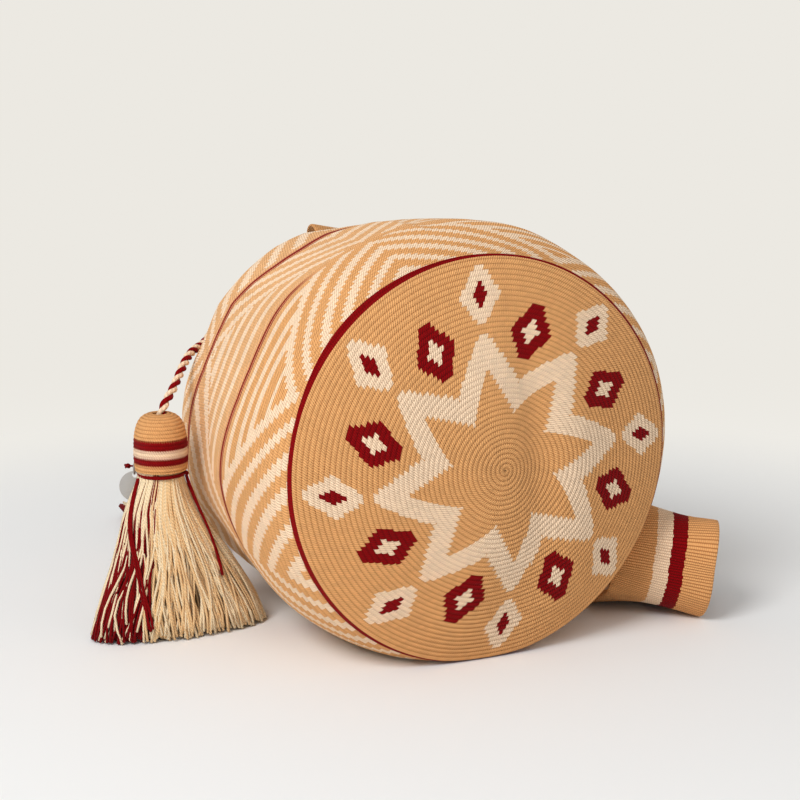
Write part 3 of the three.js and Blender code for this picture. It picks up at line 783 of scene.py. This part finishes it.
def make_base():
    rows = BASE_ROUNDS * ROWS_A_ROUND + ROWS_A_ROUND
    j, i = grid(rows, COLUMNS)
    spiral = j / ROWS_A_ROUND - i / COLUMNS
    r = np.clip(spiral / BASE_ROUNDS, 0, 1)
    degrees = SEAM + 360 * i / COLUMNS
    relief = (PROFILE[j % ROWS_A_ROUND] - 0.6) * 0.65
    relief = relief * smoothstep(r, 0, 0.03) * smoothstep(-r, -1, -0.985)
    relief = relief + base_folds(r, degrees)
    points = base_point(r, degrees) + base_normal(r, degrees) * relief[..., None]
    numbers = j * COLUMNS + i % COLUMNS
    numbers = np.where(i == COLUMNS, (j - ROWS_A_ROUND) * COLUMNS, numbers)
    centre, ring = (rows + 1) * COLUMNS, (rows + 1) * COLUMNS + 1
    numbers = np.where(spiral <= 0, centre, np.where(spiral >= BASE_ROUNDS, ring + i % COLUMNS, numbers))
    flat = np.zeros((ring + COLUMNS, 3))
    flat[numbers.ravel()] = points.reshape(-1, 3)
    flat[centre] = base_point(0, 0)
    flat[ring:ring + COLUMNS] = base_point(1, SEAM + 360 * np.arange(COLUMNS) / COLUMNS)
    coords = np.stack([(degrees - TURN) / 45 + 16, np.broadcast_to(j / ROWS_A_ROUND, j.shape)], -1)
    coords[..., 1] = np.clip(coords[..., 1], i / COLUMNS, BASE_ROUNDS + i / COLUMNS)
    faces, corners = skin(numbers, coords)
    used = np.unique(np.concatenate([np.array(f) for f in faces]))
    new = np.zeros(len(flat), int)
    new[used] = np.arange(len(used))
    faces = [[int(new[k]) for k in f] for f in faces]
    return bag_piece("base_crochet", row_frame(flat[used]), faces, [base_finish], corners)


def eyelet(k):
    """The middle of an eyelet, and the ways out of the wall, around it and along it."""
    degrees = FIRST_EYELET - 360 / EYELETS * k
    out = wall_normal(EYELET_AT, degrees)
    around = unit(wall_point(EYELET_AT, degrees + 1) - wall_point(EYELET_AT, degrees - 1))
    return wall_point(EYELET_AT, degrees), out, around, np.cross(around, out)


def in_eyelet(points, grow):
    """Which points lie in the opening of an eyelet, made larger by grow."""
    found = np.zeros(points.shape[:-1], bool)
    for k in range(EYELETS):
        centre, out, around, along = eyelet(k)
        off = points - centre
        found |= (
            ((off @ around) / (EYELET_HALF[0] + grow)) ** 2 + ((off @ along) / (EYELET_HALF[1] + grow)) ** 2 < 1
        ) & (abs(off @ out) < 9)
    return found


def round_piece(name, points, ids, coords, material, keep=None):
    """A piece over a grid of points in millimetres, whose last column falls on its first."""
    faces, corners = skin(ids, coords, keep)
    return bag_piece(name, row_frame(points[:, :-1].reshape(-1, 3)), faces, [material], corners)


def crochet_round(name, points, degrees, rounds, lowest, grow):
    """A piece of crochet that goes all the way round the bag, with its eyelets left open."""
    points[..., 2] = np.maximum(points[..., 2], lowest)
    coords = np.stack([np.broadcast_to(stitch_at(degrees), rounds.shape), rounds], -1)
    middle = (points[:-1, :-1] + points[1:, 1:]) / 2
    ids = ring_numbers(len(points), points.shape[1] - 1)
    return round_piece(name, points, ids, coords, wall_finish, ~in_eyelet(middle, grow))


def make_wall(name, first_round, last_round):
    rows = (last_round - first_round) * ROWS_A_ROUND
    j, i = grid(rows, COLUMNS)
    rounds = first_round + j / ROWS_A_ROUND
    degrees = SEAM + 360 * i / COLUMNS
    t = round_at(rounds, degrees)
    relief = (PROFILE[j % ROWS_A_ROUND] - 0.6) * 0.7 * smoothstep(rounds, 0, 0.5)
    relief = relief + softness(t, degrees)
    points = wall_point(t, degrees) + wall_normal(t, degrees) * relief[..., None]
    return crochet_round(name, points, degrees, rounds, 0.05, 1.2)


def make_lining():
    """The wrong side of the crochet, from the mouth down to the base."""
    degrees = SEAM + 360 * np.arange(257) / 256
    tt, dd = np.meshgrid(np.linspace(BAG_LENGTH, 0, 85), degrees, indexing="ij")
    wall = wall_point(tt, dd) - wall_normal(tt, dd) * (WALL - softness(tt, dd))[..., None]
    rr, db = np.meshgrid(np.linspace(0.985, 0.0, 40), degrees, indexing="ij")
    base = base_point(rr, db) + base_normal(rr, db) * (base_folds(rr, db) - WALL - 0.6)[..., None]
    rounds = np.concatenate([rounds_at(tt, dd), 1.5 + (1 - rr) * BASE_ROUNDS])
    return crochet_round("lining", np.concatenate([wall, base]), degrees, rounds, WALL, 0.6)


def closed_ring(name, centre, sides, radius, material, stitches):
    """A ring of stitches along a closed line of points in millimetres."""
    count = len(centre)
    tangent = unit(np.roll(centre, -1, 0) - np.roll(centre, 1, 0))
    out = square_to(unit(centre - centre.mean(0)), tangent)
    side = np.cross(tangent, out)
    j, i = grid(count - 1, sides)
    turn = 2 * np.pi * i / sides
    lump = radius * (1 + 0.13 * np.cos(2 * np.pi * j * stitches / count + turn))
    ring = centre[:, None] + lump[..., None] * circled(turn, out[:, None], side[:, None])
    ring[..., 2] = np.maximum(ring[..., 2], 0.05)
    ids = np.vstack([j, np.full((1, sides + 1), 0)]) * sides + np.vstack([i, i[:1]]) % sides
    along = np.arange(count + 1)[:, None] * stitches / count
    coords = np.stack(np.broadcast_arrays(i[:1] / sides, along), -1)
    return round_piece(name, ring, ids, coords, material)


edge_thread = yarn("edge_thread", TAN, 1.0)
base_piece = make_base()
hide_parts("bag_body")
wall_pieces = make_wall("wall_front", 0, WALL_SPLIT), make_wall("wall_back", WALL_SPLIT, WALL_ROUNDS)
for made in (base_piece, *wall_pieces, make_lining()):
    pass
angles = np.linspace(0, 360, 720, endpoint=False)
rim_line = wall_point(BAG_LENGTH, angles) - wall_normal(BAG_LENGTH, angles) * WALL / 2
mouth_edge = closed_ring("mouth_edge", rim_line, 10, MOUTH_EDGE_RADIUS, edge_thread, 190)
for k in range(EYELETS):
    centre, out, around, along = eyelet(k)
    turn = 2 * np.pi * np.arange(80)[:, None] / 80
    wide, high = np.cos(turn) * (EYELET_HALF[0] + EDGE_GAP), np.sin(turn) * (EYELET_HALF[1] + EDGE_GAP)
    oval = centre - out * WALL / 2 + around * wide + along * high - out * (wide**2 / 2 / WALL_RADIUS)
    closed_ring(f"eyelet_edge_{k}", oval, 8, EDGE_RADIUS, edge_thread, 26)


# ---- shoulder strap

def sewn_point(from_end, degrees, lift=0.0):
    """Where the strap lies inside the rim, at a distance from its end and an angle round the mouth."""
    from_end, degrees, lift = np.broadcast_arrays(*(np.asarray(v, float) for v in (from_end, degrees, lift)))
    t = np.minimum(BAG_LENGTH - STRAP_LAP + from_end, BAG_LENGTH)
    point = wall_point(t, degrees) + wall_normal(t, degrees) * (lift - WALL - LAP_GAP - STRAP_THICK / 2)[..., None]
    point[..., 1] += np.maximum(0, from_end - STRAP_LAP)
    return point


RIM_WAY, LEVEL = (0.94, 0, -0.34), (1, 0, 0)
SEWN = (0, STRAP_LAP / 2, STRAP_LAP)
BEHIND = [
    (54, 317, 211), (70, 328, 176), (92, 330, 132), (116, 320, 86), (142, 298, 42), (160, 260, 17), (170, 215, 9),
    (174, 165, 12),
]
UNDER = [(142, 95, 2.2), (135, 132, 2.2), (120, 170, 2.2), (92, 207, 2.2), (54, 242, 2.2)]
STRAP_ROUTE = [
    *[(sewn_point(d, STRAP_TOP), RIM_WAY) for d in SEWN],
    ((36, 255, 216), RIM_WAY),
    ((38, 274, 228), (0.97, 0, -0.24)),
    ((43, 296, 230), (1, 0, -0.1)),
    *[(point, LEVEL) for point in BEHIND],
    ((172, 118, 28), (1, -0.05, -0.05)),
    ((168, 81, 46), (0.96, -0.25, -0.12)),
    ((158, 48, 62), (0.8, -0.55, -0.2)),
    ((149, 26.5, 68), (0.66, -0.72, -0.22)),
    ((141, 13.5, 57), (0.68, -0.7, -0.22)),
    ((138, 12, 41), (0.7, -0.68, -0.22)),
    ((137, 14, 24.5), (0.76, -0.62, -0.25)),
    ((138, 22, 12.5), (0.87, -0.46, -0.27)),
    ((141, 39, 7.4), (0.96, -0.25, -0.16)),
    ((143, 62, 3.4), (1, -0.05, -0.03)),
    *[(point, LEVEL) for point in UNDER],
    ((14, 274, 2.2), (0.7, 0.7, 0)),
    ((-12, 300, 3.6), (0.78, 0.62, 0)),
    ((-22, 320, 11), (0.9, 0.45, 0)),
    ((-25, 327, 27), (1, 0.1, -0.05)),
    ((-28, 315, 42), (0.98, 0, -0.15)),
    ((-31, 292, 42), (0.95, 0, -0.3)),
    *[(sewn_point(d, STRAP_BOTTOM), RIM_WAY) for d in SEWN[::-1]],
]


def make_strap():
    line, ways = curve_through([p for p, _ in STRAP_ROUTE], [w for _, w in STRAP_ROUTE], parts=60)
    length = lengths_along(line)[-1]
    ribs = round(length / RIB)
    line, ways = evenly(line, 2 * ribs + 1, ways)
    tangent = unit(np.gradient(line, axis=0))
    side = square_to(ways, tangent)
    out = np.cross(side, tangent)
    steps = np.arange(len(line))
    share = steps / steps[-1]
    from_end = np.minimum(share, 1 - share) * length
    top = share < 0.5
    half = STRAP_THICK / 2 - 0.1
    face = [(x, -1.0) for x in np.linspace(-1, 1, 25)[1:-1]]
    profile = np.array([(-0.985, -0.85), *face, (0.985, -0.85), (1.0, -0.5), (1.006, 0.0), (1.0, 0.5)])
    u, v = np.vstack([profile, -profile]).T
    bump = np.where(steps % 2 == 0, -0.34, 0.0)
    lift = v[None] * (half + bump[:, None])
    uu = np.broadcast_to(u[None], lift.shape)
    free = line[:, None] + side[:, None] * (uu * STRAP_WIDTH / 2)[..., None] + out[:, None] * lift[..., None]
    rim_radius = SECTIONS[-1, 1] - WALL
    turned = np.where(top, STRAP_TOP, STRAP_BOTTOM)[:, None] + np.where(top, -1, 1)[:, None] * np.degrees(
        uu * STRAP_WIDTH / 2 / rim_radius)
    sewn = sewn_point(from_end[:, None], turned, lift)
    fade = smoothstep(from_end, STRAP_LAP + 9, STRAP_LAP + 55)[:, None, None]
    points = sewn * (1 - fade) + free * fade
    points[..., 2] = np.maximum(points[..., 2], 0.1)
    count, ring = len(line), len(u)
    wide = np.append(u, u[0])
    coords = np.stack(np.broadcast_arrays((wide[None] + 1) * STRAP_WIDTH / 2, (steps * 0.5 * RIB)[:, None]), -1)
    faces, corners = skin(ring_numbers(count, ring), coords)
    for row, flip in ((0, False), (count - 1, True)):
        loop = [int(row * ring + k) for k in range(ring)]
        faces.append(loop if flip else loop[::-1])
        shown = [[(u[k] + 1) * STRAP_WIDTH / 2, row * 0.5 * RIB] for k in range(ring)]
        corners.extend(shown if flip else shown[::-1])
    return bag_piece("strap", row_frame(points.reshape(-1, 3)), faces, [strap_finish], corners), length


strap, strap_length = make_strap()
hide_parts("shoulder_strap")
round(strap_length / 1000, 3)
refinish("strap_seam_top", cream_thread)
refinish("strap_seam_bottom", cream_thread)


# ---- tassels

HEAD = [(21.7, 0, 0, 14, 14), (30, 0, 0, 13.9, 13.9), (34, 0, 0, 13, 12.8), (37, 0, 0, NECK_RADIUS, 12.6)]
STANDING = np.array(HEAD + [
    (41, 0, 0, 13.4, 12.6), (50, -0.5, 0, 17, 14), (62, -0.5, 1, 22.5, 16), (92, 5, 2, 35, 19), (122, 8, 3, 49, 21),
    (FRINGE_END, 9, 4, 55, 22),
], float)
LYING = np.array(HEAD + [
    (50, 0, -2.2, 15, 12.6), (70, 0, -4.8, 18, 12), (100, 0, -7.2, 25, 9.7), (FRINGE_END, 0, -9.5, 32, 7.4),
], float)
PLACE_A = (TASSEL_A, np.array([[1, 0, 0], [0, -1, 0], [0, 0, -1.0]]))
PLACE_B = (TASSEL_B, np.array([np.cross((0, 0, 1), WAY_B), (0, 0, 1), WAY_B]))


def placed(points, place):
    return place[0] + np.asarray(points, float) @ place[1]


def fringe_point(table, s, degrees, depth=1.0, lift=0.0):
    x, y, a, b = (table_at(table, c, np.asarray(s, float)) for c in (1, 2, 3, 4))
    angle = np.radians(degrees)
    across, back = (a * depth + lift) * np.cos(angle), (b * depth + lift) * np.sin(angle)
    return np.stack([x + across, y + back, s + 0 * angle], -1)


CAP_SHAPE = np.array([
    (4.6, 0), (6.5, 0.15), (9, 0.8), (12.3, 3), (14.9, 7.5), (16.4, 14), (16.9, 22), (16.9, 30), (16.2, 36),
], float)
CAP_ROUNDS, CAP_STITCHES = 17.6, 34


def make_cap(end, place):
    """The cap: rounds of crochet over a dome, open below."""
    line = curve_through(np.column_stack([CAP_SHAPE, np.zeros(len(CAP_SHAPE))]), parts=10)
    rows = int(CAP_ROUNDS * 4) + 1
    line = evenly(line, rows)[:, :2]
    inner = line[::-4].copy()
    inner[:, 0] = np.maximum(inner[:, 0] - 2.4, 4.2)
    inner[:, 1] = inner[:, 1] + 2.2 * (1 - inner[:, 1] / 36)
    j = np.arange(rows)
    along = np.gradient(line, axis=0)
    out = unit(np.column_stack([along[:, 1], -along[:, 0]]))
    relief = (PROFILE[j % 4] - 0.7) * 0.7
    outer = line + out * relief[:, None]
    shape = np.concatenate([outer, inner])
    rounds = np.concatenate([j / 4, np.linspace(CAP_ROUNDS, 0, len(inner))])
    sides = 96
    turn = 2 * np.pi * np.arange(sides + 1) / sides
    out, up = shape[:, :1], shape[:, 1:]
    ring = np.stack([out * np.cos(turn), out * np.sin(turn), up + 0 * turn], -1)
    ids = ring_numbers(len(shape), sides)
    coords = np.stack(np.broadcast_arrays(CAP_STITCHES * turn[None] / (2 * np.pi), rounds[:, None]), -1)
    faces, corners = skin(ids[:, ::-1], coords[:, ::-1])
    last = np.vstack([ids[-1], ids[0]])
    f2, c2 = skin(last[:, ::-1], np.stack([coords[-1], coords[0]])[:, ::-1])
    points = row_frame(placed(ring[:, :-1].reshape(-1, 3), place))
    obj = bag_piece(f"cap_{end}", points, faces + f2, [cap_finish], corners + c2)
    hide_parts(f"tassel_cap_{end}")


def knot_lines(centre, radius):
    """The turns of a cord's knot, as one strand wound over a ball."""
    s = np.linspace(0, 2 * np.pi, 120)
    line = np.stack([
        (2 + np.cos(3 * s)) * np.cos(2 * s), (2 + np.cos(3 * s)) * np.sin(2 * s), 1.6 * np.sin(3 * s)], -1)
    return centre + line * (radius / 3.0)


def make_knot(end, place):
    centre = placed([(0, 0, 8 + 0.3 + KNOT_RADIUS)], place)[0]
    line = knot_lines(centre, KNOT_RADIUS - KNOT_THREAD)
    obj = tubes(f"knot_{end}", [row_frame(line)], KNOT_THREAD / 1000, 8, [red_strand])
    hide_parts(f"cord_knot_{end}")


def make_fringe(end, table, place, count, part, offset, seed, over):
    """The fringe as single threads. Past the plane of part and offset they are red, but for cream ones over them."""
    random = np.random.default_rng(seed)
    n = np.array([math.cos(math.radians(part)), math.sin(math.radians(part))])
    groups = {"red": [], "straw": [], "cream": []}
    for k in range(count + over[2]):
        outer = k >= count
        depth = 1.0 if outer or random.random() < 0.5 else math.sqrt(random.uniform(0.12, 0.9))
        degrees = random.uniform(*over[:2]) if outer else random.uniform(0, 360)
        s = np.linspace(25, FRINGE_END - random.uniform(0, 14 if outer else 4.5), 14)
        loose = smoothstep(s, 42, 115)
        wave, way = random.uniform(10, 20), random.uniform(0, 6)
        drift = random.normal(0, 7) * loose + (7 if outer else 3.5) * np.sin(s / wave + way) * loose
        out = random.normal(0, 0.045) * loose + 0.03 * np.sin(s / random.uniform(8, 14) + way) * loose
        where = np.clip(depth + out, 0.05, 1.06)
        points = fringe_point(table, s, degrees + drift, where, 0.9 if outer else 0.0)
        is_red = points[-1, :2] @ n > offset and not outer
        groups["red" if is_red else ("cream" if outer or random.random() < 0.5 else "straw")].append(points)
    for name, kinds, materials in (
        ("red", ("red",), [red_thread]), ("cream", ("straw", "cream"), [straw_thread, cream_thread]),
    ):
        paths, which, radii = [], [], []
        for w, kind in enumerate(kinds):
            for points in groups[kind]:
                world = placed(points, place)
                world[:, 2] = np.maximum(world[:, 2], 0.9)
                paths.append(row_frame(world))
                which.append(w)
                radii.append(random.uniform(0.00070, 0.00092))
        obj = tubes(f"threads_{name}_{end}", paths, radii, 4, materials, which=which)
        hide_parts(f"fringe_{name}_{end}")


make_cap("a", PLACE_A)
make_cap("b", PLACE_B)
make_knot("a", PLACE_A)
make_knot("b", PLACE_B)
make_fringe("a", STANDING, PLACE_A, 830, 235, -6, 11, (126, 232, 54))
make_fringe("b", LYING, PLACE_B, 440, 0, 4, 23, (20, 80, 14))


# ---- tie threads, hanging threads and tag

TAG_TURN = -CAMERA_TURN
RIGHT = np.array([math.cos(math.radians(TAG_TURN)), -math.sin(math.radians(TAG_TURN)), 0])
AWAY = np.array([math.sin(math.radians(TAG_TURN)), math.cos(math.radians(TAG_TURN)), 0])
TIE_RING, TIE_THREAD, SMALL_KNOT = NECK_RADIUS + 1.8, 0.00062, 2.3


def tie_turns(place):
    """The thread wound twice and a half round the neck."""
    turn = np.linspace(0, 5 * np.pi, 150)
    ring = np.stack([TIE_RING * np.cos(turn), TIE_RING * np.sin(turn), TIE_AT - 0.75 + 1.5 * turn / turn[-1]], -1)
    return row_frame(placed(ring, place))


def beside_tie(out, depth, up=0.0):
    return TASSEL_A + (0, 0, -TIE_AT + up) - RIGHT * out + AWAY * depth


def small_knot(centre, radius):
    return row_frame(knot_lines(centre, radius - 0.6))


tail = curve_through([
    beside_tie(6, math.sqrt(TIE_RING**2 - 36)), beside_tie(10, 15.5), beside_tie(14.5, 18.1),
    beside_tie(19.5, 18.5), beside_tie(24, 18.5),
], parts=8)
tie_knots = [small_knot(beside_tie(*at), SMALL_KNOT) for at in ((24, 18.5), (-TIE_RING - 0.6, 0))]
tie_a = tubes("tie_a", [tie_turns(PLACE_A), row_frame(tail), *tie_knots], TIE_THREAD, 6, [red_thread])
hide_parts("tie_thread_a")
tie_b = tubes("tie_b", [tie_turns(PLACE_B)], TIE_THREAD, 6, [red_thread])
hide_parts("tie_thread_b")


def hanging_threads(name, rows, count, spread, seed):
    random = np.random.default_rng(seed)
    rows = np.array(rows, float)
    paths = []
    for k in range(count):
        s = np.linspace(rows[0, 0], rows[-1, 0] - random.uniform(0, 5), 22)
        degrees = np.interp(s, rows[:, 0], rows[:, 1]) + (k - (count - 1) / 2) * spread * np.sin(s / 17 + k)
        points = fringe_point(STANDING, s, degrees, 1.0, 2.6 + 0.4 * np.sin(s / 9 + 2 * k))
        paths.append(row_frame(placed(points, PLACE_A)))
    obj = tubes(name, paths, 0.00085, 7, [red_thread])
    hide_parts(name.replace("hanging", "tie_strand"))


hanging_threads(
    "hanging_left", [(40.5, 176), (46, 170), (60, 158), (80, 145), (100, 130), (120, 122), (136, 119)], 3, 3.2, 5,
)
hanging_threads("hanging_right", [(40.5, 20), (56, 28), (72, 36), (90, 46), (106, 54)], 2, 2.5, 6)
refinish("tag_ring", steel_finish)
refinish("tag_disc", steel_finish)


# ---- floor and light

def make_floor():
    """A floor that curves up into a backdrop behind."""
    line = [(-3.0, 0.0), (2.2, 0.0)]
    line += [(2.2 + 0.9 * math.sin(a), 0.9 - 0.9 * math.cos(a)) for a in np.linspace(0, math.pi / 2, 13)[1:]]
    line += [(3.1, 4.0)]
    points, faces = [], []
    for y, z in line:
        points += [(-5, y, z), (5, y, z)]
    for k in range(len(line) - 1):
        faces.append([2 * k, 2 * k + 1, 2 * k + 3, 2 * k + 2])
    obj = piece("floor", np.array(points, float), faces, [floor_finish()])
    obj.rotation_euler[2] = math.radians(CAMERA_TURN)


def area_light(name, power, size, location, target=(0, 0, 0.1)):
    data = bpy.data.lights.new(name, "AREA")
    data.shape, data.size, data.energy = "DISK", size, power
    aimed(name, data, location, Vector(target) - Vector(location))


make_floor()
area_light("key", 52, 1.2, (-1.9, -1.2, 2.0))
area_light("fill", 11, 1.4, (-0.8, -2.0, 2.2))

world = bpy.data.worlds.new("studio")
scene.world = world
world.use_nodes = True
background = world.node_tree.nodes["Background"].inputs
background["Color"].default_value = (1.0, 0.99, 0.975, 1)
background["Strength"].default_value = 0.46
scene.view_settings.view_transform = "Standard"
